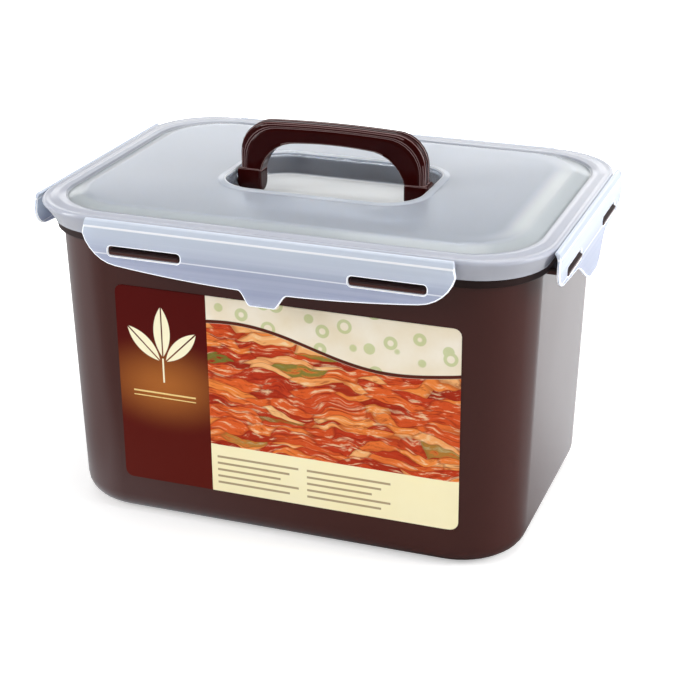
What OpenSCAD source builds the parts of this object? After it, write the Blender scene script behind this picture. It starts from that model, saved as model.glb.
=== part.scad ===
// Lidded food keeper: a drafted tub with a catch flange, a clip-down lid with a handle well,
// four hinged side latches and a folding bail handle.
// Origin at the middle of the base, +X along the long side, the labelled front faces -Y.

/* [Tub] */
// Length of the tub at its base
tub_l = 299; // [260:1:340]
// Width of the tub at its base
tub_w = 208; // [180:1:240]
// Height of the tub to its rim
tub_h = 200; // [160:1:240]
// Slope of every tub wall, in degrees
draft_deg = 1.46; // [0.8:0.02:2]
// Radius of the four upright corners
corner_r = 43; // [36:1:50]
// Thickness of the tub wall
wall = 2.3; // [1.8:0.1:3]
// Thickness of the tub floor
floor_t = 3; // [2:0.1:4]
// Radius between the walls and the base, outside
base_fillet = 13; // [9:0.5:16]
// Width of the flat ring that the tub stands on
foot_w = 12; // [6:1:20]
// Height of the hollow inside that ring
foot_h = 1.6; // [0.8:0.1:2.4]

/* [Flange and catch lugs] */
// Distance from the rim down to the top of the flange
flange_drop = 9; // [7:0.5:12]
// Height of the flange's outer face
flange_h = 4.8; // [3.5:0.1:7]
// How far the flange stands out from the wall
flange_out = 3.9; // [2.5:0.1:5]
// Distance from the end of a long latch in to the middle of each of its lugs
long_lug_inset = 41.4; // [34:0.2:50]
// Length of each lug on the long sides
long_lug_l = 45; // [36:0.5:50]
// Distance from the end of a short latch in to the middle of each of its lugs
short_lug_inset = 40.4; // [37:0.2:46]
// Length of each lug on the short sides
short_lug_l = 35.4; // [28:0.2:38]
// Thickness of a lug at its tip
lug_t = 3.3; // [2.8:0.1:3.8]

/* [Lid] */
// Height of the lid's edge band above the tub's rim
lid_rise = 5.4; // [4.8:0.1:7]
// Height of the middle panel above that edge band
panel_rise = 2; // [1:0.1:3]
// Thickness of the lid
lid_t = 2; // [1.6:0.1:2.6]
// Width of the sloping band between the panel and the step
slope_w = 10.5; // [7:0.5:14]
// How far the lid's edge stands out past the rim of the tub
lid_out = 9.8; // [8.4:0.1:12]
// How far the skirt's lower edge stands out past the rim of the tub
skirt_out = 3.8; // [3:0.1:5]
// Gap between the skirt's lower edge and the flange
skirt_gap = 0.5; // [0.3:0.1:1]
// Depth of the plug wall that reaches down inside the tub
plug_h = 7; // [4:0.5:12]
// Gap between the plug wall and the inside of the tub
plug_gap = 0.6; // [0.3:0.1:1]

/* [Handle well] */
// Gap between the handle's collars and the ends of the well
collar_gap = 0.7; // [0.7:0.1:1.5]
// Gap between the folded handle and the side of the well
well_gap = 1; // [0.6:0.1:3]
// How much larger the radius of the well's upright corners is than that of the handle's bends
well_r_extra = 4; // [3:0.1:5]
// Width of the raised bead round the well
bead_w = 5.5; // [3:0.5:8]
// Height of that bead above the panel
bead_h = 0.8; // [0.4:0.1:1.4]
// Gap below the folded handle
well_floor_gap = 0.4; // [0.3:0.1:1]

/* [Seal] */
// Width of the seal
seal_w = 4.2; // [3.4:0.1:4.4]
// Gap between the seal and the parts next to it
seal_gap = 0.1; // [0.05:0.05:0.2]

/* [Latches] */
// Thickness of the latch plates
latch_t = 2; // [1.6:0.1:2.2]
// How far a long latch ends short of the lid's edge
long_latch_inset = 46.5; // [42:0.5:60]
// How far a short latch ends short of the lid's edge
short_latch_inset = 29.5; // [26:0.5:40]
// Distance from the hinge line down to a long latch's lower edge, beside its tab
long_latch_drop = 32.2; // [28:0.2:36]
// Distance from the hinge line down to a short latch's lower edge, beside its tab
short_latch_drop = 25.5; // [24.5:0.1:28]
// How much the lower edge of a long latch rises towards its ends
long_latch_rise = 8; // [4:0.5:12]
// How much the lower edge of a short latch rises towards its ends
short_latch_rise = 4.5; // [2:0.5:6]
// Radius at the lower corners of a long latch
long_latch_corner = 25; // [16:1:28]
// Radius at the lower corners of a short latch
short_latch_corner = 14; // [8:1:18]
// Width of the finger tab of a long latch
long_tab_w = 31; // [24:1:40]
// Width of the finger tab of a short latch
short_tab_w = 84; // [80:1:96]
// Width of each sloping side of a long latch's tab
long_tab_side = 8; // [5:1:11]
// Width of each sloping side of a short latch's tab
short_tab_side = 34; // [24:1:37]
// How far the finger tab of a long latch hangs below its lower edge
long_tab_drop = 8.6; // [5:0.2:10]
// How far the finger tab of a short latch hangs below its lower edge
short_tab_drop = 14.5; // [10:0.5:17]
// How far the lower part leans outward at the end of the tab
lean_out = 2.2; // [0:0.1:3]
// How far a latch's plate stands out from its hinge line
shoulder_out = 3; // [2.6:0.1:3.4]
// Distance from the hinge line down to the lower edge of the latch's sloping shoulder
shoulder_h = 3.5; // [3:0.1:5]
// Gap between the hinge bead and the lid's edge
hinge_gap = 0.3; // [0.3:0.05:0.5]
// Height of a catch slot
slot_h = 5.8; // [5:0.1:7]
// Gap at each end of a lug in its slot
slot_end_gap = 1.1; // [0.6:0.1:2]
// Gap between a lug and the lower edge of its slot
slot_gap = 0.4; // [0.3:0.05:0.8]

/* [Handle] */
// Length of the handle, outside to outside of its legs
handle_l = 125; // [119:1:131]
// Height of the handle above its pivot
handle_h = 42; // [39:0.1:48]
// Height of the grip's section
grip_w = 12.6; // [11:0.2:15]
// Width of the legs
leg_w = 13.4; // [11:0.2:16]
// Thickness of the handle, front to back
grip_t = 13; // [10:0.2:14]
// Outer radius of the handle's bends
bend_r = 21; // [17:1:26]
// Inner radius of the handle's bends
inner_bend_r = 26; // [12:1:28]
// Radius of the grip's outer edges
grip_round = 2.6; // [2:0.1:3.2]
// Radius of the grip's inner edges
grip_soft = 1.6; // [1:0.1:2.4]
// Distance from the grip's outer side to the ridge on each face
ridge_at = 4.8; // [4:0.1:6]
// Depth of the grooves along the grip
groove_d = 0.9; // [0.3:0.1:1.2]
// How far the collar at the foot of a leg stands out past it, at the end of the handle
collar_proud = 2.4; // [1.8:0.1:3]
// How far a collar stands out past its leg, on the inside
collar_step = 0.8; // [0.7:0.1:1.4]
// How far a collar stands out past its leg, front and back
collar_face = 0.5; // [0.3:0.1:1]
// Height of the collar above the pivot
collar_h = 9; // [7:0.5:14]
// Radius of the pivot pins
pin_r = 3; // [2.4:0.1:3.6]
// Length of the pivot pins
pin_l = 4.8; // [3:0.1:6]
// Running clearance round the pins
pin_clear = 0.05; // [0.03:0.01:0.1]

/* [Label] */
// Distance from the end of the tub's left corner to the label, at the base
label_left_gap = 1.9; // [0:0.1:20]
// How far the label reaches round the right corner, at the base
label_wrap = 10.9; // [2:0.1:15]
// Distance from the underside of the flange down to the label
label_drop = 26.7; // [22:0.1:60]
// Distance from the base up to the label
label_z = 26.5; // [22:0.5:30]
// Width of the label's dark left panel
label_panel_w = 60.6; // [40:0.2:80]
// Height of the label's plain strip
label_strip_h = 33; // [20:1:50]
// Radius of the label's corners
label_r = 5; // [2:0.5:8]

/* [Hidden] */

tub_colour = [0.27, 0.17, 0.165];
lid_colour = [0.80, 0.83, 0.87];
seal_colour = [0.86, 0.87, 0.85];
latch_colour = [0.76, 0.82, 0.89];
handle_colour = [0.16, 0.045, 0.045];
label_colour = [0.93, 0.87, 0.70];
label_red = [0.45, 0.06, 0.04];
label_orange = [0.82, 0.30, 0.10];

// Steps in a quarter of a rounded outline, in a fillet and in a small round, and sides of a round bar
corner_steps = 12;
fillet_steps = 6;
round_steps = 3;
facets = 64;
slope = tan(draft_deg);
sink = 1;

// The rim of the tub: the lid, the latches and the lugs are all set out from these half sizes
rim_a = tub_l / 2 + tub_h * slope;
rim_b = tub_w / 2 + tub_h * slope;
rim_round = 0.8;
inner_fillet = base_fillet - wall;
flange_top = tub_h - flange_drop;
flange_low = flange_top - flange_h;
flange_round = 1;
flange_fillet = 0.8;

// Lid levels, and the outward places of its features as distances from the tub's rim
band_z = tub_h + lid_rise;
panel_z = band_z + panel_rise;
roof_z = band_z - lid_t;
skirt_z = flange_top + skirt_gap;
plug_z = tub_h - plug_h;
step_out = -wall;
step_h = 1.6;
slope_low_z = band_z - step_h;
panel_out = step_out - slope_w;
panel_corner_less = 7;
panel_r = corner_r - panel_corner_less;
panel_soft = 1.5;
crest_at = 4.2;
crest_out = step_out + crest_at;
crest_h = 0.35;
groove_at = 4;
groove_out = crest_out + groove_at;
groove_low = 0.4;
groove_half = 1;
edge_round = 1.9;
edge_soft = 0.4;
roof_soft = 1.2;
corner_growth = 0.3;
plug_out = step_out - plug_gap;
plug_round = 0.6;
rib_out = plug_out + seal_w + 2 * seal_gap;
rib_t = 1.2;
rib_z = tub_h + seal_gap;

// Handle well and pivot
collar_r = grip_t / 2 + collar_face;
well_top_gap = 0.5;
well_depth = 2 * collar_r + well_floor_gap + well_top_gap;
well_floor_z = panel_z - well_depth;
leg_a = handle_l / 2;
collar_out = leg_a + collar_proud;
well_a = collar_out + collar_gap;
well_b = handle_h + well_gap;
well_r = bend_r + well_r_extra;
well_draft_deg = 1.5;
well_lean = tan(well_draft_deg);
well_fillet = 2.4;
bead_steps = 5;
pivot_z = well_floor_z + well_floor_gap + collar_r;
collar_w = collar_proud + leg_w + collar_step;
collar_round = 0.6;
collar_edge = 2.2;
pin_end_gap = 0.3;
pin_end = collar_out + pin_l;
boss_wall = 1.4;
boss_r = 6;

// Handle path and section
camber = 1;
bend_steps = 8;
grip_steps = 4;
grip_z = pivot_z + handle_h - camber;
grip_groove_w = 2.4;

// Latches
bead_r = latch_t / 2;
hinge_out = lid_out + hinge_gap + bead_r;
hinge_below_band = 1.4;
hinge_z = band_z - hinge_below_band;
plate_out = hinge_out + shoulder_out;
shoulder_z = hinge_z - shoulder_h;
shoulder_top = hinge_z + bead_r;
shoulder_deg = 20;
lug_below_flange = 2.3;
lug_low = flange_low - lug_below_flange;
lug_proud = 0.8;
lug_ramp = 0.9;
slot_low = lug_low - slot_gap;
slot_round = 2.2;
latch_top_inset = 3;
latch_end_deg = 14;
edge_steps = 8;
tab_steps = 8;
crease_above_slot = 1;
crease_z = slot_low + crease_above_slot;
lean_power = 1.2;
lean_steps = 4;

// Label
label_t = 0.3;
label_stand = 0.05;
print_t = 0.1;
label_border = 0.4;
label_bends = 10;
label_corner_steps = 4;
label_left = corner_r + label_left_gap - tub_l / 2;
label_split = label_left + label_panel_w;
label_right = tub_l / 2 - corner_r + label_wrap;
label_top = flange_low - label_drop;

// Rounded rectangle of half sizes a by b and corner radius r, as points at height z
function ring(a, b, r, z) = [for (q = [0:3], i = [0:corner_steps])
    let (t = 90 * (q + i / corner_steps),
         sx = (q == 0 || q == 3) ? 1 : -1,
         sy = (q < 2) ? 1 : -1)
    [sx * (a - r) + r * cos(t), sy * (b - r) + r * sin(t), z]];

function backwards(list) = [for (i = [len(list) - 1:-1:0]) list[i]];

// Points of an arc in a section, from angle t0 to t1
function arc(c, r, t0, t1, steps) = [for (i = [0:steps])
    let (t = t0 + (t1 - t0) * i / steps) [c.x + r * cos(t), c.y + r * sin(t)]];

// Solid skin through a row of rings, closed by its first and last ring
module loft(rings) {
    n = len(rings[0]);
    m = len(rings);
    polyhedron(
        points = [for (r = rings) each r],
        faces = concat(
            [[for (i = [0:n - 1]) i]],
            [for (j = [0:m - 2], i = [0:n - 1], f = [0:1])
                let (p = j * n + i, q = j * n + (i + 1) % n)
                f == 0 ? [p, p + n, q + n] : [p, q + n, q]],
            [[for (i = [n - 1:-1:0]) (m - 1) * n + i]]));
}

// Solid loop through a row of rings, its last ring joined to its first
module loop_loft(rings) {
    n = len(rings[0]);
    m = len(rings);
    polyhedron(
        points = [for (r = rings) each r],
        faces = [for (j = [0:m - 1], i = [0:n - 1], f = [0:1])
            let (i2 = (i + 1) % n, p = j * n + i, q = j * n + i2,
                 p2 = (j + 1) % m * n + i, q2 = (j + 1) % m * n + i2)
            f == 0 ? [p, p2, q2] : [p, q2, q]]);
}

// Thin sheet between a front and a back grid of points, rows upward and columns to the right
module sheet(front, back) {
    m = len(front);
    n = len(front[0]);
    far = m * n;
    edge = concat([for (i = [0:n - 2]) i], [for (j = [0:m - 2]) j * n + n - 1],
                  [for (i = [n - 1:-1:1]) (m - 1) * n + i], [for (j = [m - 1:-1:1]) j * n]);
    polyhedron(
        points = concat([for (r = front) each r], [for (r = back) each r]),
        faces = [
            for (j = [0:m - 2], i = [0:n - 2]) let (p = j * n + i) each
                [[p, p + n, p + n + 1], [p, p + n + 1, p + 1],
                 [far + p, far + p + n + 1, far + p + n], [far + p, far + p + 1, far + p + n + 1]],
            for (k = [0:len(edge) - 1]) let (p = edge[k], q = edge[(k + 1) % len(edge)]) each
                [[p, q, far + q], [p, far + q, far + p]]]);
}

// Turns children from the front to a side: 0 front, 1 right, 2 back, 3 left
module on_side(i) { rotate([0, 0, 90 * i]) children(); }
function pick(i, long, short) = i % 2 == 0 ? long : short;
function side_reach(i) = pick(i, rim_b, rim_a);
function latch_half(i) =
    pick(i, rim_a, rim_b) + lid_out - pick(i, long_latch_inset, short_latch_inset);
function lug_at(i) = latch_half(i) - pick(i, long_lug_inset, short_lug_inset);

// A section of [-distance out, height] points, run along the front
module along(l) { translate([-l / 2, 0, 0]) rotate([90, 0, 90]) linear_extrude(l) children(); }

// An outline seen from the front, run outward from y0 to y1
module outward(y0, y1) { translate([0, -y0, 0]) rotate([90, 0, 0]) linear_extrude(y1 - y0) children(); }

module rounded(w, h, r) { polygon([for (p = ring(w / 2, h / 2, r, 0)) [p.x, p.y]]); }

// Tub: its section is [distance out from the drafted wall, height]
function wall_ring(p) =
    ring(tub_l / 2 + p.y * slope + p.x, tub_w / 2 + p.y * slope + p.x, corner_r + p.x, p.y);
tub_section = concat(
    [[-base_fillet - foot_w - foot_h, foot_h], [-base_fillet - foot_w, 0]],
    arc([-base_fillet, base_fillet], base_fillet, -90, 0, fillet_steps),
    arc([flange_fillet, flange_low - flange_fillet], flange_fillet, 180, 90, round_steps),
    arc([flange_out - flange_round, flange_low + flange_round], flange_round, -90, 0, round_steps),
    [[flange_out, flange_top], [0, flange_top]],
    arc([-rim_round, tub_h - rim_round], rim_round, 0, 90, round_steps),
    arc([-wall + rim_round, tub_h - rim_round], rim_round, 90, 180, round_steps),
    arc([-wall - inner_fillet, floor_t + inner_fillet], inner_fillet, 0, -90, fillet_steps));

module lug(i) {
    reach = side_reach(i);
    tip = plate_out + lug_proud;
    top = lug_low + lug_t;
    section = [[-wall / 2, lug_low], [tip - lug_ramp, lug_low], [tip, lug_low + lug_ramp],
               [tip, top - lug_ramp], [tip - 2 * lug_ramp, top],
               [flange_out - flange_round, top + lug_ramp], [-wall / 2, top + lug_ramp]];
    along(pick(i, long_lug_l, short_lug_l)) polygon([for (p = section) [-reach - p.x, p.y]]);
}

module tub() {
    color(tub_colour) {
        loft([for (p = tub_section) wall_ring(p)]);
        for (i = [0:3], s = [-1, 1])
            on_side(i) translate([s * lug_at(i), 0, 0]) lug(i);
    }
}

// Lid: rings set out from the tub's rim or from the handle well
function rim_ring(out, z, r) = ring(rim_a + out, rim_b + out, r, z);
function outer_ring(p) = rim_ring(p.x, p.y, corner_r + max(p.x, 0) * corner_growth);
function inner_ring(p) = rim_ring(p.x, p.y, corner_r + min(p.x, 0));
function well_ring(p) = ring(well_a + p.x, well_b + p.x, well_r + p.x, p.y);
function slope_at(out) =
    slope_low_z + (panel_z - slope_low_z) * (step_out - out) / (step_out - panel_out);

well_foot = -well_depth * well_lean;
well_section = concat(
    arc([well_foot - well_fillet, well_floor_z + well_fillet], well_fillet, -90, 0, round_steps),
    [for (i = [0:bead_steps]) [bead_w * i / bead_steps, panel_z + bead_h * cos(90 * i / bead_steps)]]);
panel_section = [[panel_out - panel_soft, panel_z],
                 [panel_out, (panel_z + slope_at(panel_out + panel_soft)) / 2],
                 [panel_out + panel_soft, slope_at(panel_out + panel_soft)]];
band_section = concat(
    [[step_out - step_h / 2, slope_low_z], [step_out, slope_low_z + step_h / 4],
     [step_out + step_h / 4, band_z], [crest_out - 2 * crest_h, band_z + crest_h],
     [crest_out + crest_h, band_z + crest_h], [groove_out - groove_half, band_z - groove_low / 2],
     [groove_out, band_z - groove_low], [groove_out + groove_half, band_z - groove_low / 2]],
    arc([lid_out - edge_round, band_z - edge_round], edge_round, 90, -25, fillet_steps),
    [[skirt_out + lid_t / 4, skirt_z + lid_t], [skirt_out, skirt_z]]);
under_section = [
    [skirt_out - lid_t, skirt_z], [lid_out - lid_t - edge_soft, roof_z - edge_round],
    [lid_out - lid_t - roof_soft, roof_z], [rib_out + rib_t, roof_z], [rib_out + rib_t, rib_z],
    [rib_out, rib_z], [rib_out, roof_z], [plug_out, roof_z], [plug_out, plug_z + plug_round],
    [plug_out - plug_round, plug_z], [plug_out - lid_t + plug_round, plug_z],
    [plug_out - lid_t, plug_z + plug_round], [plug_out - lid_t, slope_at(plug_out - lid_t) - lid_t],
    [panel_out, panel_z - lid_t]];
well_under_section = concat(
    [[lid_t + well_fillet, panel_z - lid_t], [lid_t, panel_z - lid_t - well_fillet]],
    arc([well_foot - well_fillet, well_floor_z + well_fillet], well_fillet + lid_t, 0, -90, round_steps));

module pivot_boss(s) {
    wall_x = well_a + well_foot;
    l = pin_end + pin_end_gap + boss_wall - wall_x;
    translate([s * (wall_x + l / 2), 0, 0]) along(l) {
        translate([0, pivot_z]) circle(boss_r, $fn = facets);
        translate([-boss_r, pivot_z]) square([2 * boss_r, panel_z - lid_t / 2 - pivot_z]);
    }
}

module pin_shape(s, x0, x1, r) {
    translate([s * (x0 + x1) / 2, 0, pivot_z]) rotate([0, 90, 0])
        cylinder(h = x1 - x0, r = r, center = true, $fn = facets);
}

module lid() {
    color(lid_colour) difference() {
        union() {
            loft(backwards(concat(
                [for (p = well_section) well_ring(p)],
                [for (p = panel_section) rim_ring(p.x, p.y, panel_r)],
                [for (p = band_section) outer_ring(p)],
                [for (p = under_section) inner_ring(p)],
                [for (p = well_under_section) well_ring(p)])));
            for (s = [-1, 1]) pivot_boss(s);
        }
        for (s = [-1, 1]) pin_shape(s, collar_out - sink, pin_end + pin_end_gap, pin_r + pin_clear);
    }
}

module lid_seal() {
    low = tub_h + seal_gap;
    top = roof_z - seal_gap;
    inner = plug_out + seal_gap;
    outer = inner + seal_w;
    r = rim_round;
    section = [[inner, top], [outer, top], [outer, low + r],
               [outer - r, low], [inner + r, low], [inner, low + r]];
    color(seal_colour) loop_loft(backwards([for (p = section) inner_ring(p)]));
}

// Latch: a plate with a rolled shoulder, hung from a bead on the hinge line
function edge_z(i, x) =
    hinge_z - pick(i, long_latch_drop, short_latch_drop)
    + pick(i, long_latch_rise, short_latch_rise) * pow(x / latch_half(i), 2);
function edge_tilt(i, x) =
    atan(2 * pick(i, long_latch_rise, short_latch_rise) * x / pow(latch_half(i), 2));
function tab_z(i) = edge_z(i, 0) - pick(i, long_tab_drop, short_tab_drop);
function ease(t) = let (u = max(0, min(1, t))) u * u * (3 - 2 * u);

function latch_outline(i) =
    let (half = latch_half(i),
         r = pick(i, long_latch_corner, short_latch_corner),
         tab_a = pick(i, long_tab_w, short_tab_w) / 2,
         tab_side = pick(i, long_tab_side, short_tab_side),
         tab_drop = pick(i, long_tab_drop, short_tab_drop),
         tilt = edge_tilt(i, half - r),
         join_x = half - r + r * sin(tilt),
         corner_z = edge_z(i, join_x) + r * cos(tilt),
         xs = concat(
             [for (k = [1:edge_steps - 1]) join_x + (tab_a - join_x) * k / edge_steps],
             [for (k = [0:tab_steps]) tab_a - tab_side * k / tab_steps]),
         right = concat(
             [[half - latch_top_inset, hinge_z + 2 * bead_r]],
             arc([half - r, corner_z], r, -latch_end_deg, tilt - 90, fillet_steps),
             [for (x = xs) [x, edge_z(i, x) - tab_drop * ease((tab_a - x) / tab_side)]]))
    concat(right, [for (p = backwards(right)) [-p.x, p.y]]);

module latch_section(i) {
    reach = side_reach(i);
    leans = [for (k = [0:lean_steps]) let (t = k / lean_steps)
        [lean_out * pow(t, lean_power), crease_z + (tab_z(i) - sink - crease_z) * t]];
    outer = concat(arc([hinge_out, shoulder_top - latch_t], latch_t, 90, shoulder_deg, fillet_steps),
                   [[plate_out, shoulder_z]], [for (p = leans) [plate_out + p.x, p.y]]);
    inner = concat([[hinge_out, shoulder_top - latch_t], [plate_out - latch_t, shoulder_z]],
                   [for (p = leans) [plate_out - latch_t + p.x, p.y]]);
    polygon([for (p = concat(outer, backwards(inner))) [-reach - p.x, p.y]]);
}

module latch(i) {
    reach = side_reach(i);
    half = latch_half(i);
    slot_l = pick(i, long_lug_l, short_lug_l) + 2 * slot_end_gap;
    color(latch_colour) on_side(i) {
        difference() {
            intersection() {
                along(2 * half) latch_section(i);
                outward(reach + hinge_out - sink, reach + plate_out + lean_out + sink)
                    polygon(latch_outline(i));
            }
            for (s = [-1, 1])
                translate([s * lug_at(i), 0, slot_low + slot_h / 2])
                    outward(reach + lid_out, reach + plate_out + sink)
                        rounded(slot_l, slot_h, slot_round);
        }
        translate([0, -reach - hinge_out, hinge_z]) rotate([0, 90, 0])
            cylinder(h = 2 * (half - latch_top_inset), r = bead_r, center = true, $fn = facets);
    }
}
module front_latch() { latch(0); }
module right_latch() { latch(1); }
module back_latch() { latch(2); }
module left_latch() { latch(3); }

// Handle: one bar bent over from foot to foot, its section stretched between an inner and an outer line
function bend_point(a, top, r, t) = [a - r + r * cos(t), top - r + r * sin(t)];
function grip_station(s, t) = [
    let (p = bend_point(leg_a - leg_w, grip_z - grip_w, inner_bend_r, t)) [s * p.x, p.y],
    let (p = bend_point(leg_a, grip_z, bend_r, t)) [s * p.x, p.y]];
leg_z = min(pivot_z + collar_h, grip_z - grip_w - inner_bend_r) - sink;
function leg_station(s) = [[s * (leg_a - leg_w), leg_z], [s * leg_a, leg_z]];
function top_station(u) =
    let (rise = camber * (1 - u * u))
    [[u * (leg_a - leg_w - inner_bend_r), grip_z - grip_w + rise], [u * (leg_a - bend_r), grip_z + rise]];

// Half of the grip's section, as [distance from the inner side, distance from the middle]
grip_a = grip_t / 2;
grip_half_section = concat(
    arc([grip_soft, grip_a - grip_soft], grip_soft, 180, 90, round_steps),
    [[grip_w - ridge_at - groove_d / 2, grip_a], [grip_w - ridge_at + groove_d / 2, grip_a - groove_d / 3],
     [grip_w - grip_round - groove_d, grip_a - groove_d]],
    arc([grip_w - grip_round, grip_a - groove_d / 2 - grip_round], grip_round, 90, 0, round_steps),
    [[grip_w, grip_groove_w / 2], [grip_w - groove_d, grip_groove_w / 4], [grip_w - groove_d, 0]]);
grip_section = concat(grip_half_section,
    [for (i = [len(grip_half_section) - 2:-1:0]) [grip_half_section[i].x, -grip_half_section[i].y]]);

function grip_ring(st) = [for (p = grip_section)
    let (q = st[0] + p.x / grip_w * (st[1] - st[0])) [q.x, p.y, q.y]];

// Outline of a collar seen from its end, drawn in by d: half round below, square above
function collar_outline(d) =
    let (r = collar_r - d, c = collar_round, y = r - c, z = collar_h - d - c)
    concat(arc([0, 0], r, 180, 360, facets / 4), arc([y, z], c, 0, 90, round_steps),
           arc([-y, z], c, 90, 180, round_steps));

module collar(s) {
    from_end = [for (i = [0:fillet_steps]) let (t = 90 * i / fillet_steps)
        [collar_w / 2 - collar_edge * (1 - cos(t)), collar_edge * (1 - sin(t))]];
    places = concat([for (p = from_end) [-p.x, p.y]], backwards(from_end));
    translate([s * (collar_out - collar_w / 2), 0, pivot_z])
        loft([for (p = places) [for (q = collar_outline(p.y)) [p.x, q.x, q.y]]]);
}

module carry_handle() {
    stations = concat(
        [leg_station(1)], [for (i = [0:bend_steps]) grip_station(1, 90 * i / bend_steps)],
        [for (i = [1:grip_steps * 2 - 1]) top_station(1 - i / grip_steps)],
        [for (i = [bend_steps:-1:0]) grip_station(-1, 90 * i / bend_steps)], [leg_station(-1)]);
    color(handle_colour) {
        loft(backwards([for (st = stations) grip_ring(st)]));
        for (s = [-1, 1]) {
            collar(s);
            pin_shape(s, collar_out - 2 * sink, pin_end, pin_r);
        }
    }
}

// Label: a patch that follows the front wall and the start of its corners
function wall_point(s, z, out) =
    let (a = tub_l / 2 + z * slope, b = tub_w / 2 + z * slope,
         over = max(0, abs(s) - (a - corner_r)), t = over / corner_r * 180 / PI, k = s < 0 ? -1 : 1)
    [k * (min(abs(s), a - corner_r) + (corner_r + out) * sin(t)),
     -(b - corner_r) - (corner_r + out) * cos(t), z];

// Rows of [height, left end, right end], drawn in at rounded corners
function patch_rows(s0, s1, z0, z1, r) = concat(
    [for (i = [0:label_corner_steps]) let (t = 90 * i / label_corner_steps)
        [z0 + r * (1 - cos(t)), s0 + r * (1 - sin(t)), s1 - r * (1 - sin(t))]],
    [for (i = [label_corner_steps:-1:0]) let (t = 90 * i / label_corner_steps)
        [z1 - r * (1 - cos(t)), s0 + r * (1 - sin(t)), s1 - r * (1 - sin(t))]]);

// Places along a row: its two ends, and, where it bends, steps from the end of the flat wall
function patch_places(row, bends) =
    let (flat = tub_l / 2 + row[0] * slope - corner_r)
    concat([row[1]], bends == 0 ? [row[2]] : [for (i = [0:bends]) flat + (row[2] - flat) * i / bends]);

module wall_patch(s0, s1, z0, z1, r, out, t, bends) {
    rows = patch_rows(s0, s1, z0, z1, r);
    function line(row, d) = [for (s = patch_places(row, bends)) wall_point(s, row[0], d)];
    sheet([for (row = rows) line(row, out + t)], [for (row = rows) line(row, out)]);
}

module front_label() {
    color(label_colour) wall_patch(label_left, label_right, label_z, label_top, label_r,
        label_stand, label_t, label_bends);
}
module label_red_panel() {
    color(label_red) wall_patch(label_left + label_border, label_split, label_z + label_border,
        label_top - label_border, label_r - label_border, label_stand + label_t, print_t, 0);
}
module label_picture_panel() {
    color(label_orange) wall_patch(label_split + label_border, label_right - label_border,
        label_z + label_strip_h, label_top - label_border, label_r - label_border,
        label_stand + label_t, print_t, label_bends);
}

tub();
lid();
lid_seal();
front_latch();
back_latch();
left_latch();
right_latch();
carry_handle();
front_label();
label_red_panel();
label_picture_panel();
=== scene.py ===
"""A rectangular food keeper: brown tub, frosted lid with four latches, folding handle and printed label."""

import math
import bmesh
import bpy
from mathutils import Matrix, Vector


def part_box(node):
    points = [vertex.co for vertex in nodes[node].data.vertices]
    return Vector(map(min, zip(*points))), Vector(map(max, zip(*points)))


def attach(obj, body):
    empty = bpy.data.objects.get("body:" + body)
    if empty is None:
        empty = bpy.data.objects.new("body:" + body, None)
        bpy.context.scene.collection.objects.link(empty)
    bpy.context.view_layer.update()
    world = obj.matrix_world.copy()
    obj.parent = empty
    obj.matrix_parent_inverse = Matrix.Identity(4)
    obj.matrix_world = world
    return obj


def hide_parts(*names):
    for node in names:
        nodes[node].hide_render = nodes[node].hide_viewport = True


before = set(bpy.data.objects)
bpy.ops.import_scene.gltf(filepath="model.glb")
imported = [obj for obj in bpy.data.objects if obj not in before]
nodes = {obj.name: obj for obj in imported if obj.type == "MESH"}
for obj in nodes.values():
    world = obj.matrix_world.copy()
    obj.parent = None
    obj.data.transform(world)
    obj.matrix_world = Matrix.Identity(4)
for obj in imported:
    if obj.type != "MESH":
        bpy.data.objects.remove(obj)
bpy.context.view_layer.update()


# Tub
# One deep moulding in reddish brown polypropylene, with the catch flange and its eight lugs moulded on.
# The polished mould leaves it glossy, with a faint orange peel and slow waves where the walls shrank.
TUB_BROWN = (0.052, 0.0105, 0.0080, 1)
TUB_BROWN_LIGHT = (0.062, 0.0140, 0.0105, 1)
# Painted shade: the colour the flange takes under the lid's skirt
FLANGE_PAINTED_SHADE = (0.012, 0.0030, 0.0025, 1)

# Lengths are in metres: two vertices closer than WELD are one, and PEEL is the depth of the orange peel
WELD = 1e-6
PEEL = 0.00002
TUB_WAVE = 0.0002
TUB_EDGE = 0.0003
FLANGE_LOW_Z = 0.1862
FLANGE_SOFT = 0.0002

# Angles in degrees: faces that differ by less than FLAT are one face before the edges are rounded
FLAT = 0.4
EDGE_STEPS = 2

# The tub stays rougher than 0.28, because the denoiser draws a line where roughness crosses 0.27
TUB_ROUGHNESS = 0.29
TUB_COAT = 0.45
FLANGE_ROUGHER = 0.2
FLANGE_SHADE = 0.8

# Numbers of the sockets of a Mix node that mixes colours
MIX_FACTOR, MIX_FIRST, MIX_SECOND, MIX_RESULT = 0, 6, 7, 2


class Wire:
    """A shader socket that takes part in arithmetic. Each operator adds one Math node."""

    def __init__(self, board, socket):
        self.board = board
        self.socket = socket

    def maths(self, operation, *values):
        return self.board.node("ShaderNodeMath", {"operation": operation}, dict(enumerate((self,) + values)))

    def __add__(self, other):
        return self.maths("ADD", other)

    def __sub__(self, other):
        return self.maths("SUBTRACT", other)

    def __rsub__(self, other):
        return self.maths("MULTIPLY_ADD", -1.0, other)

    def __mul__(self, other):
        return self.maths("MULTIPLY", other)

    def __pow__(self, other):
        return self.maths("POWER", other)

    def __abs__(self):
        return self.maths("ABSOLUTE")

    def larger(self, other):
        return self.maths("MAXIMUM", other)

    def smaller(self, other):
        return self.maths("MINIMUM", other)

    def ramp(self, start, end):
        """0 at start and 1 at end, with soft shoulders."""
        sockets = {"Value": self, "From Min": start, "From Max": end}
        return self.board.node("ShaderNodeMapRange", {"interpolation_type": "SMOOTHSTEP"}, sockets)

    def line(self, at, half, soft):
        """1 within half of the place at, fading to 0 over the distance soft."""
        return abs(self - at).ramp(half + soft, half)


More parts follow.
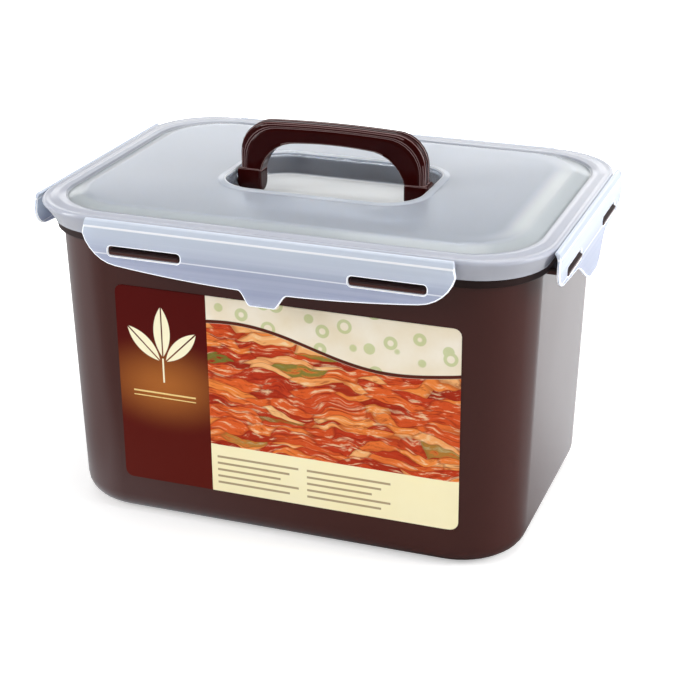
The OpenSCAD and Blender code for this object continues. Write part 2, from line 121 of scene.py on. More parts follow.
class Board:
    """A node tree in the making."""

    def __init__(self, tree):
        self.tree = tree
        self.tree.nodes.clear()

    def node(self, kind, settings, sockets, outlet=0):
        made = self.tree.nodes.new(kind)
        for name, value in settings.items():
            if name == "stops":
                for i, (place, colour) in enumerate(value):
                    stop = made.color_ramp.elements[i] if i < 2 else made.color_ramp.elements.new(place)
                    stop.position = place
                    stop.color = colour
            else:
                setattr(made, name, value)
        for name, value in sockets.items():
            if isinstance(value, Wire):
                self.tree.links.new(value.socket, made.inputs[name])
            else:
                made.inputs[name].default_value = value
        return Wire(self, made.outputs[outlet]) if made.outputs else made

    def split(self, vector):
        return [self.node("ShaderNodeSeparateXYZ", {}, {0: vector}, i) for i in range(3)]

    def stretch(self, vector, scale, turn=0.0):
        """The points scaled along each axis, after a turn about Y in degrees."""
        sockets = {"Vector": vector, "Rotation": (0, math.radians(turn), 0), "Scale": scale}
        return self.node("ShaderNodeMapping", {}, sockets)

    def noise(self, vector, scale, detail=2.0, roughness=0.5, outlet=0):
        sockets = {"Vector": vector, "Scale": scale, "Detail": detail, "Roughness": roughness}
        return self.node("ShaderNodeTexNoise", {}, sockets, outlet)

    def ray(self, kind):
        """1 where the shader is met by a ray of this kind."""
        return self.node("ShaderNodeLightPath", {}, {}, "Is " + kind + " Ray")

    def blend(self, factor, first, second):
        """first where factor is 0 and second where it is 1."""
        sockets = {MIX_FACTOR: factor, MIX_FIRST: first, MIX_SECOND: second}
        return self.node("ShaderNodeMix", {"data_type": "RGBA"}, sockets, MIX_RESULT)

    def mix(self, factor, first, second):
        return self.node("ShaderNodeMixShader", {}, {0: factor, 1: first, 2: second})

    def bump(self, height, distance, strength, under=None):
        sockets = {"Height": height, "Distance": distance, "Strength": strength}
        if under:
            sockets["Normal"] = under
        return self.node("ShaderNodeBump", {}, sockets)

    def shader(self, **sockets):
        named = {name.replace("_", " "): value for name, value in sockets.items()}
        return self.node("ShaderNodeBsdfPrincipled", {}, named)


class Finish(Board):
    """A material in the making. Points on it are in metres in the row frame."""

    def __init__(self, name):
        self.material = bpy.data.materials.new(name)
        self.material.use_nodes = True
        super().__init__(self.material.node_tree)
        self.point = self.node("ShaderNodeTexCoord", {}, {}, "Object")
        self.x, self.y, self.z = self.split(self.point)

    def done(self, shader):
        self.node("ShaderNodeOutputMaterial", {}, {"Surface": shader})
        return self.material


def dress(node, body, slot, *materials, edge=0.0, smooth_below=35, edge_above=35, edge_below=math.inf):
    """Replace a CAD node by a smooth-shaded copy. Its edges that turn by more than edge_above degrees and
    lie lower than edge_below metres are rounded by edge metres, in the last material."""
    shape = bmesh.new()
    shape.from_mesh(nodes[node].data)
    bmesh.ops.remove_doubles(shape, verts=shape.verts, dist=WELD)
    if edge:
        bmesh.ops.dissolve_limit(shape, angle_limit=math.radians(FLAT), verts=shape.verts, edges=shape.edges)
    for face in shape.faces:
        face.smooth = True
    rounding = shape.edges.layers.float.new("bevel_weight_edge")
    for line in shape.edges:
        sharp = line.calc_face_angle(0.0) > math.radians(edge_above)
        line[rounding] = float(sharp and max(end.co.z for end in line.verts) < edge_below)
    mesh = bpy.data.meshes.new(node + "_skin")
    shape.to_mesh(mesh)
    shape.free()
    mesh.set_sharp_from_angle(angle=math.radians(smooth_below))
    for material in materials:
        mesh.materials.append(material)
    piece = bpy.data.objects.new(node + "_skin", mesh)
    bpy.context.scene.collection.objects.link(piece)
    if edge:
        bevel = piece.modifiers.new("edge", "BEVEL")
        bevel.width = edge
        bevel.segments = EDGE_STEPS
        bevel.limit_method = "WEIGHT"
        bevel.use_clamp_overlap = False
        bevel.material = len(materials) - 1
    normals = piece.modifiers.new("flat_stays_flat", "WEIGHTED_NORMAL")
    normals.keep_sharp = True
    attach(piece, body)
    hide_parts(node)


def tub_plastic():
    finish = Finish("brown_polypropylene")
    mottle = finish.noise(finish.point, scale=14, detail=3)
    peel = finish.noise(finish.point, scale=900)
    wave = finish.noise(finish.point, scale=9, detail=1)
    waves = finish.bump(wave, TUB_WAVE, strength=0.2)
    normal = finish.bump(peel, PEEL, strength=0.03, under=waves)
    grain = finish.noise(finish.point, scale=700)
    # Above FLANGE_LOW_Z the flange is painted near black as painted shade under the lid's skirt; it is also
    # rougher and uncoated
    flange = finish.z.ramp(FLANGE_LOW_Z - FLANGE_SOFT, FLANGE_LOW_Z + FLANGE_SOFT)
    speckle = mottle * 0.7 + grain * 0.6 - 0.15
    wall = finish.blend(speckle, TUB_BROWN, TUB_BROWN_LIGHT)
    return finish.done(finish.shader(
        Base_Color=finish.blend(flange * FLANGE_SHADE, wall, FLANGE_PAINTED_SHADE),
        Roughness=mottle * 0.04 + flange * FLANGE_ROUGHER + TUB_ROUGHNESS, Specular_IOR_Level=0.42,
        Coat_Weight=(1 - flange) * TUB_COAT, Coat_Roughness=0.2, Normal=normal))


dress("tub", "tub", "tub", tub_plastic(), edge=TUB_EDGE)


# Lid
# One moulding in natural polypropylene, 2 mm thick: clear enough in the flat middle panel and the handle's
# well to show what lies below, and milky where it is thick or curved.
# Painted light on the lid: highlights inside the panel's right edge and on the well's lip, shade in the
# step's crevice and on the well's walls, and a lighter far side of the rim
LID_MILK = (0.58, 0.60, 0.68, 1)
RIM_FAR_PAINTED_LIGHT = (0.69, 0.71, 0.78, 1)
LID_PANEL_MILK = (0.74, 0.80, 0.90, 1)
LID_SLOPE_MILK = (0.62, 0.67, 0.70, 1)
LID_FLOOR_MILK = (0.82, 0.84, 0.84, 1)
LID_PAINTED_GLINT = (0.93, 0.97, 0.95, 1)
LIP_PAINTED_HIGHLIGHT = (0.95, 0.96, 1.0, 1)
LID_SHADE = (0.30, 0.32, 0.36, 1)
LID_CLEAR = (0.90, 0.94, 1.0, 1)
WELL_WALL_PAINTED_SHADE = (0.58, 0.58, 0.61, 1)

# Half length, half width and corner radius of the panel, of the step round it and of the handle's well
PANEL = (0.1418, 0.0963, 0.036)
STEP = (0.1523, 0.1068, 0.043)
WELL = (0.0656, 0.0430, 0.025)
PANEL_Z = 0.2074
WELL_FLOOR_Z = 0.1925
LID_WAVE = 0.0005

# Start and end of each zone: distances out from its outline, heights, or places along and across the lid
PANEL_FADE = (0.004, -0.003)
PANEL_TOP = (PANEL_Z - 0.0004, PANEL_Z + 0.0002)
STEP_FADE = (0.0, -0.001)
WALL_FADE = (0.0006, -0.0002)
FLOOR_FADE = (0.0, -0.002)
FLOOR_TOP = (WELL_FLOOR_Z + 0.0014, WELL_FLOOR_Z + 0.0002)
LIP_TOP = (PANEL_Z - 0.0006, PANEL_Z - 0.0002)
RIM_FAR_Y = (-0.10, 0.06)
GLINT_FADE = (-0.016, -0.004)
GLINT_X = (0.085, 0.12)
GLINT_Y = (0.098, 0.050)

# Middle, half width and soft border of each band: distances out from the outline, and heights for the wall
BEAD_BAND = (0.0027, 0.0012, 0.0016)
LIP_BAND = (0.0003, 0.0002, 0.0005)
CREVICE_BAND = (0.0002, 0.0001, 0.0006)
WALL_BAND = (0.200, 0.0058, 0.0012)

# Share of the light that passes: at the rim, added inside the step and on the panel, and in the well.
# The bead is milkier than the zone that it lies in, and so are the painted highlights of the glint and the
# lip.
RIM_CLEAR = 0.26
STEP_CLEAR = 0.22
PANEL_CLEAR = 0.20
WELL_WALL_CLEAR = 0.95
WELL_FLOOR_CLEAR = 0.15
BEAD_MILKIER = 0.3
GLINT_MILKIER = 0.4
LID_ROUGHNESS = 0.09

# How strongly each band takes its colour: the painted highlights of the glint and the lip, the painted shade
# of the crevice
GLINT_TINT = 0.7
LIP_TINT = 0.8
CREVICE_TINT = 0.7

# How deep light spreads in the plastic: red, green and blue, in metres
LIGHT_SPREAD = (0.004, 0.0045, 0.005)


def rounded(finish, half_x, half_y, radius):
    """Distance out from a rounded rectangle seen from above; negative inside it."""
    across = abs(finish.x) - (half_x - radius)
    along = abs(finish.y) - (half_y - radius)
    outside = (across.larger(0.0) ** 2.0 + along.larger(0.0) ** 2.0) ** 0.5
    return outside + across.larger(along).smaller(0.0) - radius


def frosted(finish, milk, glass_colour, clear, roughness, normal):
    """Milky plastic that lets the share clear of the light through."""
    scatter = finish.shader(
        Base_Color=milk, Roughness=roughness, Normal=normal,
        Subsurface_Weight=0.3, Subsurface_Radius=LIGHT_SPREAD, Subsurface_Scale=1.0)
    glass = finish.shader(
        Base_Color=glass_colour, Roughness=roughness, Transmission_Weight=1.0, IOR=1.45, Normal=normal)
    return finish.mix(clear, scatter, glass)


def lid_plastic():
    finish = Finish("lid_polypropylene")
    cloud = finish.noise(finish.point, scale=22, detail=3)
    peel = finish.noise(finish.point, scale=500)
    wave = finish.noise(finish.point, scale=12)
    waves = finish.bump(wave, LID_WAVE, strength=0.35)
    normal = finish.bump(peel, PEEL, strength=0.25, under=waves)
    from_panel = rounded(finish, *PANEL)
    from_step = rounded(finish, *STEP)
    from_well = rounded(finish, *WELL)

    in_panel = from_panel.ramp(*PANEL_FADE)
    in_step = from_step.ramp(*STEP_FADE)
    bead = from_well.line(*BEAD_BAND) * finish.z.ramp(*PANEL_TOP)
    well_wall = from_well.ramp(*WALL_FADE) * finish.z.line(*WALL_BAND)
    well_floor = from_well.ramp(*FLOOR_FADE) * finish.z.ramp(*FLOOR_TOP)
    clear = in_panel * PANEL_CLEAR + in_step * STEP_CLEAR + RIM_CLEAR
    clear = clear * (1 - bead * BEAD_MILKIER)
    clear = clear * (1 - well_wall) + well_wall * WELL_WALL_CLEAR
    clear = clear * (1 - well_floor) + well_floor * WELL_FLOOR_CLEAR

    slope = in_step * (1 - in_panel)
    # Painted light: the rim is painted lighter towards the far side
    rim = finish.blend(finish.y.ramp(*RIM_FAR_Y), LID_MILK, RIM_FAR_PAINTED_LIGHT)
    milk = finish.blend(slope, finish.blend(in_panel, rim, LID_PANEL_MILK), LID_SLOPE_MILK)
    milk = finish.blend(well_floor, milk, LID_FLOOR_MILK)
    # Painted highlight: a glint band inside the right edge of the panel
    glint = from_panel.ramp(*GLINT_FADE) * finish.x.ramp(*GLINT_X)
    glint = glint * abs(finish.y).ramp(*GLINT_Y) * GLINT_TINT
    milk = finish.blend(glint * in_panel, milk, LID_PAINTED_GLINT)
    # Painted highlight: a white line along the lip of the well
    lip = from_well.line(*LIP_BAND) * finish.z.ramp(*LIP_TOP)
    milk = finish.blend(lip * LIP_TINT, milk, LIP_PAINTED_HIGHLIGHT)
    # Painted shade: the upper part of the well's walls is seen through a darker glass colour
    glass = finish.blend(well_wall, LID_CLEAR, WELL_WALL_PAINTED_SHADE)
    crevice = from_step.line(*CREVICE_BAND)
    milk = finish.blend(crevice * CREVICE_TINT, milk, LID_SHADE)
    clear = clear * (1 - glint.larger(lip * 2) * GLINT_MILKIER)
    return finish.done(frosted(finish, milk, glass, clear, cloud * 0.05 + LID_ROUGHNESS, normal))


dress("lid", "tub", "lid", lid_plastic())


# Seal
# A ring of soft white silicone that sits in the groove between the plug wall and the rib. It is matt, and
# a little dusty as silicone gets.
SILICONE = (0.78, 0.79, 0.77, 1)
SILICONE_PALE = (0.86, 0.87, 0.85, 1)


def silicone():
    finish = Finish("white_silicone")
    dust = finish.noise(finish.point, scale=300, detail=3)
    return finish.done(finish.shader(
        Base_Color=finish.blend(dust, SILICONE, SILICONE_PALE), Roughness=dust * 0.1 + 0.55))


dress("lid_seal", "tub", "seal", silicone())


# Latches
# Four flaps of the same natural plastic as the lid, hung on its edge. Each one's slots snap over two lugs.
# Painted highlights whiten the top, the shoulder and the crease, an edge material with a faint glow paints
# one round the outline and along the slots, and the flap is painted darker towards the bottom as painted
# shade.
LATCH_MILK = (0.72, 0.80, 0.96, 1)
LATCH_PAINTED_SHADE_LOW = (0.48, 0.53, 0.72, 1)
LATCH_HIGHLIGHT_AND_FLOW_WHITE = (0.93, 0.95, 1.0, 1)
LATCH_EDGE_HIGHLIGHT = (0.90, 0.93, 1.0, 1)
LATCH_EDGE_HIGHLIGHT_PALE = (0.97, 0.98, 1.0, 1)
LATCH_EDGE_PAINTED_GLOW = (0.9, 0.95, 1, 1)
LATCH_CLEAR = 0.3
LATCH_EDGE = 0.0008
LATCH_ROUGHNESS = 0.2

# Start and end height of the fade to the painted shade low on the flap and of the top's painted highlight;
# middle, half width and soft border of the shoulder's highlight band and of the crease's
LATCH_FADE = (0.198, 0.178)
LATCH_TOP = (0.2032, 0.2044)
SHOULDER_BAND = (0.2006, 0.0004, 0.0005)
CREASE_BAND = (0.1844, 0.0002, 0.0004)

# Strength of the painted highlights at the top, the shoulder and the crease, and how white the flow marks
# are
TOP_HIGHLIGHT = 0.2
SHOULDER_HIGHLIGHT = 0.9
CREASE_HIGHLIGHT = 0.7
FLOW_WHITE = 0.12

# The hinge beads above this height keep their edges as they are
HINGE_LOW_Z = 0.2025

# The flow marks of the moulding run along the flap, so the noise is squeezed in height
FLOW_STRETCH = (4, 4, 300)
FLOW_DEPTH = 0.00004
FLOW_MARKS = (0.45, 0.75)


def latch_plastic():
    finish = Finish("latch_polypropylene")
    cloud = finish.noise(finish.point, scale=22, detail=3)
    flow = finish.noise(finish.stretch(finish.point, FLOW_STRETCH), scale=1)
    normal = finish.bump(flow, FLOW_DEPTH, strength=0.5)
    # Painted shade: the flap is painted darker towards the bottom
    milk = finish.blend(finish.z.ramp(*LATCH_FADE), LATCH_MILK, LATCH_PAINTED_SHADE_LOW)
    # Painted highlights: white bands at the rolled top, along the shoulder and along the crease
    top = finish.z.ramp(*LATCH_TOP) * TOP_HIGHLIGHT
    shoulder = finish.z.line(*SHOULDER_BAND) * SHOULDER_HIGHLIGHT
    crease = finish.z.line(*CREASE_BAND) * CREASE_HIGHLIGHT
    marks = flow.ramp(*FLOW_MARKS) * FLOW_WHITE
    white = top.larger(shoulder).larger(crease).larger(marks)
    milk = finish.blend(white, milk, LATCH_HIGHLIGHT_AND_FLOW_WHITE)
    clear = (1 - white) * LATCH_CLEAR
    return finish.done(frosted(finish, milk, LID_CLEAR, clear, cloud * 0.06 + LATCH_ROUGHNESS, normal))


def latch_edge_plastic():
    finish = Finish("latch_edge_highlight")
    grain = finish.noise(finish.point, scale=400)
    # Painted highlight round the outline and along the slots, with a faint painted glow
    return finish.done(finish.shader(
        Base_Color=finish.blend(grain, LATCH_EDGE_HIGHLIGHT, LATCH_EDGE_HIGHLIGHT_PALE), Roughness=grain * 0.05 + 0.25,
        Emission_Color=LATCH_EDGE_PAINTED_GLOW, Emission_Strength=0.3))


latch_material = latch_plastic()
latch_edge_material = latch_edge_plastic()
for side in ("front", "back", "left", "right"):
    dress(side + "_latch", side + "_latch", "latch", latch_material, latch_edge_material,
          edge=LATCH_EDGE, edge_below=HINGE_LOW_Z)


# Handle
# A bail of dark red-brown polypropylene, moulded with its two pins and a ribbed grip. Its rounded edges are
# painted pale as a painted highlight.
HANDLE_BROWN = (0.018, 0.0010, 0.0008, 1)
HANDLE_BROWN_LIGHT = (0.034, 0.0022, 0.0016, 1)
HANDLE_EDGE_HIGHLIGHT = (0.15, 0.082, 0.080, 1)
HANDLE_EDGE_HIGHLIGHT_PALE = (0.21, 0.125, 0.120, 1)
HANDLE_EDGE = 0.0003


def handle_plastic():
    finish = Finish("dark_polypropylene")
    mottle = finish.noise(finish.point, scale=40, detail=3)
    peel = finish.noise(finish.point, scale=1100)
    return finish.done(finish.shader(
        Base_Color=finish.blend(mottle, HANDLE_BROWN, HANDLE_BROWN_LIGHT),
        Roughness=mottle * 0.05 + 0.12, Specular_IOR_Level=0.11,
        Normal=finish.bump(peel, PEEL, strength=0.3)))


def handle_edge_plastic():
    finish = Finish("handle_edge_highlight")
    mottle = finish.noise(finish.point, scale=90, detail=3)
    # Painted highlight: the rounded edges get a paler, shinier brown
    return finish.done(finish.shader(
        Base_Color=finish.blend(mottle, HANDLE_EDGE_HIGHLIGHT, HANDLE_EDGE_HIGHLIGHT_PALE),
        Roughness=mottle * 0.06 + 0.2))


dress("carry_handle", "handle", "handle", handle_plastic(), handle_edge_plastic(),
      edge=HANDLE_EDGE, smooth_below=16, edge_above=25)


# Label
# A printed film wrapped on the front wall: cream ground, a red side panel with a sprig, and a picture panel
# of bent strips below a pale field with rings.
PICTURE_LOW, PICTURE_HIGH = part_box("label_picture_panel")
RED_LOW, RED_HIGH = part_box("label_red_panel")
CREAM = (1.0, 0.89, 0.52, 1)
CREAM_PALE = (1.0, 0.94, 0.66, 1)
INK = (0.22, 0.12, 0.05, 1)
GOLD = (0.90, 0.66, 0.26, 1)
NO_INK = (0, 0, 0, 1)
RED_FOOT = (0.110, 0.008, 0.004, 1)
RED_HEAD = (0.088, 0.003, 0.002, 1)
GLOW = (0.42, 0.130, 0.024, 1)
FIELD = (0.80, 0.66, 0.42, 1)
FIELD_PALE = (0.97, 0.93, 0.84, 1)
RING_GREEN = (0.42, 0.52, 0.16, 1)
BORDER_BROWN = (0.10, 0.02, 0.012, 1)
STRIP_PALE = (0.95, 0.72, 0.42, 1)
STRIP_DARK = (0.24, 0.012, 0.004, 1)
STRIP_GAP = (0.20, 0.010, 0.004, 1)
STRIP_GREEN = (0.15, 0.19, 0.03, 1)
STRIP_COLOURS = [
    (0.0, (0.34, 0.020, 0.005, 1)), (0.3, (0.56, 0.045, 0.010, 1)), (0.6, (0.76, 0.12, 0.020, 1)),
    (0.85, (0.86, 0.26, 0.05, 1)), (1.0, (0.92, 0.50, 0.20, 1))]

# Ink spreads by INK_SOFT at the edge of a printed line and by END_SOFT at its ends
INK_SOFT = 0.0003
END_SOFT = 0.0004

# The plain rules: rows, their place and pitch, the two columns, and how much shorter the next row is
RULE_ROWS = 5
RULE_TOP = 0.0085
RULE_PITCH = 0.0045
RULE_COLUMNS = ((0.004, 0.058), (0.064, 0.118))
RULE_SHORTER = 0.006
RULE_HALF = 0.0006
RULE_INK = 0.7

# The red panel: the glow, and the sprig with each leaf's place, angle, half length and half width. The stem
# and the two gold rules lie below the leaves.
GLOW_UP = 0.002
GLOW_REACH = 0.035
GLOW_WIDENED = 0.6
GLOW_INK = 0.95
SPRIG_DROP = 0.034
LEAVES = (
    (0.0, 0.006, 90, 0.017, 0.0055),
    (-0.0125, -0.003, 135, 0.015, 0.005),
    (0.0125, -0.003, 45, 0.015, 0.005))
LEAF_RIB = (0.0006, 0.0003)
LEAF_SOFT = 0.0002
STEM_DROP = 0.020
STEM_HALF_LENGTH = 0.008
STEM_HALF = 0.0004
GOLD_RULES = ((0.036, 0.0004), (0.039, 0.0002))
GOLD_HALF_LENGTH = 0.021

# The strips of the picture: how far they bend, how closely they lie, their tilt in degrees, and the values
# between which the streaks, the gaps and the few green strips set in
STRIP_BEND = (0.030, 0.0, 0.024)
STRIP_DENSITY = (42, 1, 210)
STRIP_TILT = 14
PALE_STREAKS = (0.52, 0.72)
DARK_STREAKS = (0.46, 0.28)
STRIP_GAPS = (0.09, 0.0)
GREEN_STRIPS = (0.92, 0.94)
GREEN_PATCHES = (0.35, 0.5)

# The pale field above the strips: its depth, its fall and waves along the label, its border and its rings
FIELD_DEPTH = 0.021
FIELD_FALL = -0.012
FIELD_WAVE = 0.006
FIELD_WAVES = 6.0
FIELD_PHASE = 0.6
BORDER_BAND = (0.0012, 0.0009, 0.0004)
RING_BAND = (0.26, 0.05, 0.04)

# Where the printed fields begin and end on the whole film
PICTURE_FADE = (PICTURE_LOW[2], PICTURE_LOW[2] + 0.0002)
RED_FADE = (RED_HIGH[0] + 0.0003, RED_HIGH[0] + 0.0001)


def cream_print(finish):
    """Cream ground with two columns of plain rules of uneven length."""
    tone = finish.noise(finish.point, scale=30, detail=3)
    ground = finish.blend(tone, CREAM, CREAM_PALE)
    rules = 0.0
    for row in range(RULE_ROWS):
        z = PICTURE_LOW[2] - RULE_TOP - RULE_PITCH * row
        for left, right in RULE_COLUMNS:
            start = PICTURE_LOW[0] + left
            end = PICTURE_LOW[0] + right - RULE_SHORTER * (row % 3)
            bar = finish.z.line(z, RULE_HALF, INK_SOFT)
            rules = bar * finish.x.line((start + end) / 2, (end - start) / 2, END_SOFT) + rules
    return finish.blend(rules * RULE_INK, ground, INK)


def leaf(finish, x, z, angle, half_length, half_width):
    """Mask of a pointed leaf with a midrib: where two equal circles overlap."""
    turn = math.radians(angle)
    along = (finish.x - x) * math.cos(turn) + (finish.z - z) * math.sin(turn)
    across = abs((finish.z - z) * math.cos(turn) - (finish.x - x) * math.sin(turn))
    radius = (half_length ** 2 + half_width ** 2) / (2 * half_width)
    reach = (along ** 2.0 + (across + (radius - half_width)) ** 2.0) ** 0.5
    rib = across.ramp(*LEAF_RIB)
    return reach.ramp(radius + LEAF_SOFT, radius - LEAF_SOFT) * (1 - rib)


def red_print(finish):
    """Dark red ground with a soft amber glow, a sprig of three leaves and two gold rules."""
    middle = (RED_LOW[0] + RED_HIGH[0]) / 2
    glow_z = (RED_LOW[2] + RED_HIGH[2]) / 2 + GLOW_UP
    reach = (((finish.x - middle) * GLOW_WIDENED) ** 2.0 + (finish.z - glow_z) ** 2.0) ** 0.5
    ground = finish.blend(finish.z.ramp(RED_LOW[2], RED_HIGH[2]), RED_FOOT, RED_HEAD)
    ground = finish.blend(reach.ramp(GLOW_REACH, 0.0) * GLOW_INK, ground, GLOW)
    sprig_z = RED_HIGH[2] - SPRIG_DROP
    upright, left, right = (leaf(finish, middle + x, sprig_z + z, *shape) for x, z, *shape in LEAVES)
    leaves = upright.larger(left).larger(right)
    stem = finish.z.line(sprig_z - STEM_DROP, STEM_HALF_LENGTH, END_SOFT)
    stem = finish.x.line(middle, STEM_HALF, INK_SOFT) * stem
    thick, thin = (
        finish.z.line(sprig_z - drop, half, INK_SOFT) * finish.x.line(middle, GOLD_HALF_LENGTH, END_SOFT)
        for drop, half in GOLD_RULES)
    colour = finish.blend(leaves.larger(stem), ground, CREAM_PALE)
    return finish.blend(thick.larger(thin), colour, GOLD)


def picture_print(finish):
    """Bent, streaked strips of red and orange, below a pale field of rings that ends in a wavy border."""
    warp = finish.noise(finish.point, scale=32, outlet="Color")
    bent = finish.node("ShaderNodeVectorMath", {"operation": "MULTIPLY_ADD"},
                       {0: warp, 1: STRIP_BEND, 2: finish.point})
    turned = finish.stretch(bent, STRIP_DENSITY, turn=STRIP_TILT)
    cell = {"Vector": turned, "Scale": 1.0, "Randomness": 1.0}
    strip = finish.split(finish.node("ShaderNodeTexVoronoi", {}, cell, "Color"))
    strip_edge = finish.node("ShaderNodeTexVoronoi", {"feature": "DISTANCE_TO_EDGE"}, cell)
    body = finish.node("ShaderNodeValToRGB", {"stops": STRIP_COLOURS}, {0: strip[0]})
    fine = finish.noise(turned, scale=2.4, detail=3, roughness=0.6)
    body = finish.blend(fine.ramp(*PALE_STREAKS) * 0.8, body, STRIP_PALE)
    body = finish.blend(fine.ramp(*DARK_STREAKS) * 0.7, body, STRIP_DARK)
    body = finish.blend(strip_edge.ramp(*STRIP_GAPS) * 0.45, body, STRIP_GAP)
    green = strip[1].ramp(*GREEN_STRIPS) * fine.ramp(*GREEN_PATCHES)
    body = finish.blend(green * 0.85, body, STRIP_GREEN)

    drift = (finish.x - PICTURE_LOW[0]) * (1 / (PICTURE_HIGH[0] - PICTURE_LOW[0]))
    wave = (drift * FIELD_WAVES + FIELD_PHASE).maths("SINE")
    above = finish.z - (wave * FIELD_WAVE + drift * FIELD_FALL + (PICTURE_HIGH[2] - FIELD_DEPTH))
    mottle = finish.noise(finish.point, scale=45, detail=3)
    pale = finish.blend(mottle, FIELD, FIELD_PALE)
    dots = {"Vector": finish.point, "Scale": 70.0, "Randomness": 0.8}
    rings = finish.node("ShaderNodeTexVoronoi", {}, dots)
    pale = finish.blend(rings.line(*RING_BAND) * 0.6, pale, RING_GREEN)
    colour = finish.blend(above.ramp(-INK_SOFT, INK_SOFT), body, pale)
    return finish.blend(above.line(*BORDER_BAND), colour, BORDER_BROWN)


def printed_film(name, *fields):
    """The whole print, or only the named fields of it: red, picture and cream."""
    finish = Finish(name)
    whole = "cream" in fields
    colour = cream_print(finish) if whole else NO_INK
    if "picture" in fields:
        in_picture = finish.z.ramp(*PICTURE_FADE) if whole else 1.0
        colour = finish.blend(in_picture, colour, picture_print(finish))
    if "red" in fields:
        in_red = finish.x.ramp(*RED_FADE) if whole else 1.0
        colour = finish.blend(in_red, colour, red_print(finish))
    sheen = finish.noise(finish.point, scale=60)
    return finish.done(finish.shader(
        Base_Color=colour, Roughness=sheen * 0.08 + 0.3, Specular_IOR_Level=0.12))


dress("front_label", "tub", "label", printed_film("label_film", "cream", "picture", "red"))
dress("label_red_panel", "tub", "label_red", printed_film("label_red_field", "red"))
dress("label_picture_panel", "tub", "label_orange", printed_film("label_picture_field", "picture"))


# Floor and room
# A pale seamless floor under soft light. What the camera sees of the room is white. What shines back from
# the part is dimmer in front of it and to its sides, where a dark studio stands round the camera.
WHITE = (1, 1, 1, 1)
FLOOR_SIZE = 14
FLOOR = (0.88, 0.88, 0.88, 1)
FLOOR_GRAIN = (0.86, 0.86, 0.86, 1)
FLOOR_IN_GLOSS = (0.16, 0.155, 0.15, 1)
FLOOR_GLOW_IN_GLOSS = (0.80, 0.92, 1.0, 1)
FLOOR_GLOW = 0.42
FLOOR_GLOW_FAR = 0.8
FLOOR_FAR = (0.2, 0.8)

# The dim zones of the floor: each begins and ends at these values of y - slope * x, or of x
FRONT_SLOPE = 0.45
FRONT_DIM = (0.0, -0.16)
FRONT_END_X = (-0.9, -0.4)
RIGHT_SLOPE = 2.7
RIGHT_DIM = (-0.29, -0.53)
RIGHT_DIMNESS = 0.8
LEFT_DIM_X = (-0.10, -0.22)
LEFT_DIMNESS = 0.65

# The room in reflections, by the height of the direction: a bright ceiling edge that falls off towards the
# horizon, and a fourth as bright at the front as at the back
ROOM_SHINE = 0.2
CEILING_EDGE = (0.345, 0.255)
CEILING_SHINE = 1.8
HORIZON_FADE = (0.24, 0.10)
HORIZON_LESS = 1.1
FRONT_TO_BACK = (-0.3, 0.3)
ROOM_LIGHT = 0.6
ROOM_STRENGTH = 0.8


def floor_material():
    finish = Finish("pale_floor")
    grain = finish.noise(finish.point, scale=60)
    reach = (finish.x ** 2.0 + finish.y ** 2.0) ** 0.5
    camera_ray = finish.ray("Camera")
    glossy_ray = finish.ray("Glossy")
    front = (finish.y - finish.x * FRONT_SLOPE).ramp(*FRONT_DIM) * finish.x.ramp(*FRONT_END_X)
    right = (finish.y - finish.x * RIGHT_SLOPE).ramp(*RIGHT_DIM) * RIGHT_DIMNESS
    left = finish.x.ramp(*LEFT_DIM_X) * LEFT_DIMNESS
    dim = front.larger(right).larger(left)
    pale = finish.blend(grain, FLOOR_GRAIN, FLOOR)
    paint = finish.shader(Base_Color=finish.blend(glossy_ray * dim, pale, FLOOR_IN_GLOSS), Roughness=0.7)
    bright = reach.ramp(*FLOOR_FAR) * FLOOR_GLOW_FAR + FLOOR_GLOW
    seen = camera_ray * bright + glossy_ray * (1 - dim) * FLOOR_GLOW
    tint = finish.blend(glossy_ray, WHITE, FLOOR_GLOW_IN_GLOSS)
    glow = finish.node("ShaderNodeEmission", {}, {"Color": tint, "Strength": seen})
    return finish.done(finish.node("ShaderNodeAddShader", {}, {0: paint, 1: glow}))


bpy.ops.mesh.primitive_plane_add(size=FLOOR_SIZE)
floor = bpy.context.object
floor.name = "floor"
floor.data.materials.append(floor_material())

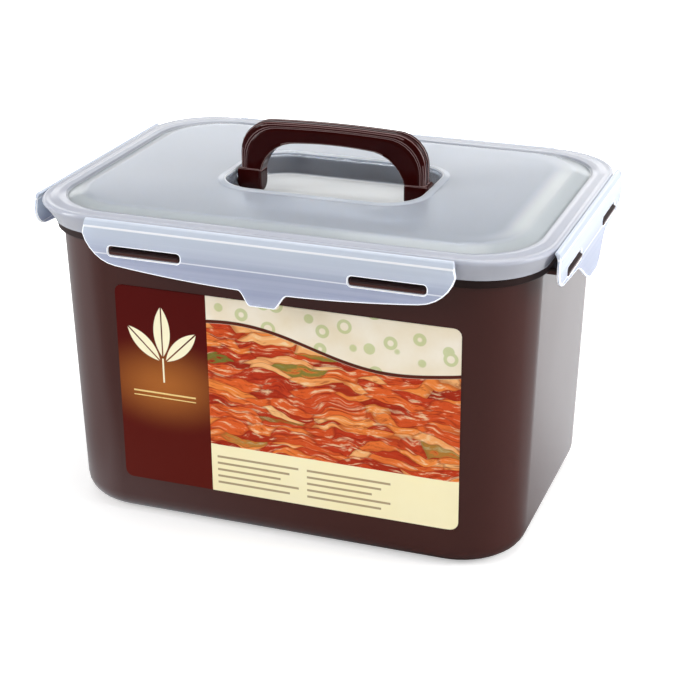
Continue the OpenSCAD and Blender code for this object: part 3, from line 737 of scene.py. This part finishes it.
world = bpy.data.worlds.new("room")
bpy.context.scene.world = world
world.use_nodes = True
room = Board(world.node_tree)
look_y, look_z = room.split(room.node("ShaderNodeTexCoord", {}, {}, "Generated"))[1:]
camera_ray = room.ray("Camera")
through_ray = room.ray("Transmission")
glossy_ray = room.ray("Glossy")
seen = camera_ray.larger(through_ray)
shine = look_z.ramp(*CEILING_EDGE) * CEILING_SHINE - look_z.ramp(*HORIZON_FADE) * HORIZON_LESS + ROOM_SHINE
shine = shine * (look_y.ramp(*FRONT_TO_BACK) * 0.75 + 0.25)
plain = glossy_ray * shine + (1 - glossy_ray) * ROOM_LIGHT
strength = seen + (1 - seen) * plain * ROOM_STRENGTH
sky = room.node("ShaderNodeBackground", {}, {"Color": WHITE, "Strength": strength})
room.node("ShaderNodeOutputWorld", {}, {"Surface": sky})

# Place, size and power in watts of each lamp. All face the middle of the part.
LAMP_AIM = (0, 0, 0.1)
LAMPS = {
    "overhead_softbox": ((0.1, 0.25, 1.5), (1.4, 1.2), 11),
    "left_softbox": ((-1.3, -0.9, 0.8), (0.5, 1.0), 14),
    "right_softbox": ((1.4, 0.1, 0.8), (0.9, 0.9), 16)}


def towards(place, aim):
    """The turn that makes a lamp or camera at a place face another place."""
    return (Vector(aim) - Vector(place)).to_track_quat("-Z", "Y").to_euler()


for name, (place, size, power) in LAMPS.items():
    light = bpy.data.lights.new(name, "AREA")
    light.shape = "RECTANGLE"
    light.size, light.size_y = size
    light.energy = power
    lamp = bpy.data.objects.new(name, light)
    bpy.context.scene.collection.objects.link(lamp)
    lamp.location = place
    lamp.rotation_euler = towards(place, LAMP_AIM)


# Camera
# Solved from the photograph: above the front right corner, with a long lens. It aims close to the middle of
# the part.
CAMERA_PLACE = (0.36684, -1.00578, 0.53738)
CAMERA_AIM = (0.003094, 0.001118, 0.0948)

camera = bpy.data.objects.new("camera", bpy.data.cameras.new("camera"))
bpy.context.scene.collection.objects.link(camera)
camera.location = CAMERA_PLACE
camera.rotation_euler = towards(CAMERA_PLACE, CAMERA_AIM)
camera.data.lens = 92.49
camera.data.sensor_width = 36
bpy.context.scene.camera = camera
bpy.context.scene.view_settings.view_transform = "Standard"
